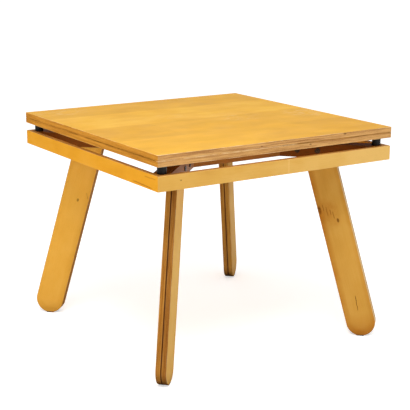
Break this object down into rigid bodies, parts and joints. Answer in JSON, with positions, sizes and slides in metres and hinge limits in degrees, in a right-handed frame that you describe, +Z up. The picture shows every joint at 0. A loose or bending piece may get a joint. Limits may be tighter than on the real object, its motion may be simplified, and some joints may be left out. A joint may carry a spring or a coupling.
{
  "type": "fold-over dining table",
  "caption": "Square plywood dining table: double top swivels a quarter turn and folds out to twice its length; four splayed paddle legs bolted into diagonal corner bars.",
  "frame": {"origin": "on the floor under the middle of the closed table", "axes": "+Z up; front towards -Y; the swivel stands over the back right corner bar (+X +Y), the folding edge is on the +X side"},
  "size_m": [0.9031, 0.9, 0.732],
  "materials": {
    "birch_top": "honey-coloured clear satin lacquer on birch plywood, grain along X",
    "birch_frame": "clear satin lacquer on birch plywood, a little more orange",
    "birch_inner": "thin lacquer on birch, darker where it is hidden",
    "birch_leg": "clear satin lacquer on birch plywood, grain along the leg, scuffed",
    "beech_dowel": "plain turned beech",
    "black_plastic": "semi-gloss black turned plastic",
    "black_rubber": "dull black",
    "dark_steel": "dark bronzed steel, satin",
    "zinc_steel": "zinc plated, dull",
    "brass": "plain rolled brass, slightly dulled"
  },
  "bodies": {
    "frame": {"apron_front": "birch_frame", "apron_right": "birch_frame", "apron_back": "birch_frame", "apron_left": "birch_frame", "inner_rail_front": "birch_inner", "inner_rail_right": "birch_inner", "inner_rail_back": "birch_inner", "inner_rail_left": "birch_inner", "bar_cheek_front_left_1": "birch_inner", "bar_cheek_front_left_2": "birch_inner", "bar_cheek_front_right_1": "birch_inner", "bar_cheek_front_right_2": "birch_inner", "bar_cheek_back_right_1": "birch_inner", "bar_cheek_back_right_2": "birch_inner", "bar_cheek_back_left_1": "birch_inner", "bar_cheek_back_left_2": "birch_inner", "bar_outer_block_front_left": "birch_inner", "bar_outer_block_front_right": "birch_inner", "bar_outer_block_back_right": "birch_inner", "bar_outer_block_back_left": "birch_inner", "bar_inner_block_front_left": "birch_inner", "bar_inner_block_front_right": "birch_inner", "bar_inner_block_back_right": "birch_inner", "bar_inner_block_back_left": "birch_inner", "leg_board_front_left_1": "birch_leg", "leg_board_front_left_2": "birch_leg", "leg_board_front_right_1": "birch_leg", "leg_board_front_right_2": "birch_leg", "leg_board_back_right_1": "birch_leg", "leg_board_back_right_2": "birch_leg", "leg_board_back_left_1": "birch_leg", "leg_board_back_left_2": "birch_leg", "foot_pad_front_left": "black_rubber", "foot_pad_front_right": "black_rubber", "foot_pad_back_right": "black_rubber", "foot_pad_back_left": "black_rubber", "post_front_left": "black_plastic", "post_front_right": "black_plastic", "post_back_right": "black_plastic", "post_back_left": "black_plastic", "leg_bolts": "dark_steel", "leg_sleeve_nuts": "dark_steel", "rail_dowels": "beech_dowel", "post_screws": "zinc_steel", "swivel_block": "black_plastic", "swivel_block_screws": "zinc_steel", "swivel_washer": "zinc_steel"},
    "lower_leaf": {"leaf_lower": "birch_top", "swivel_plate": "zinc_steel", "swivel_plate_screws": "zinc_steel", "swivel_bolt": "zinc_steel", "swivel_lock_nut": "zinc_steel", "hinge_plates_lower": "brass", "hinge_screws_lower": "brass", "hinge_pins": "brass"},
    "upper_leaf": {"leaf_upper": "birch_top", "hinge_plates_upper": "brass", "hinge_screws_upper": "brass"}
  },
  "joints": [
    {"name": "top_swivel", "type": "hinge", "parent": "frame", "child": "lower_leaf", "pos_m": [0.225, 0.225, 0.6687], "axis": [0, 0, -1], "range_deg": [0, 90]},
    {"name": "leaf_hinge", "type": "hinge", "parent": "lower_leaf", "child": "upper_leaf", "pos_m": [0.45015, 0, 0.71385], "axis": [0, 1, 0], "range_deg": [0, 180]}
  ]
}
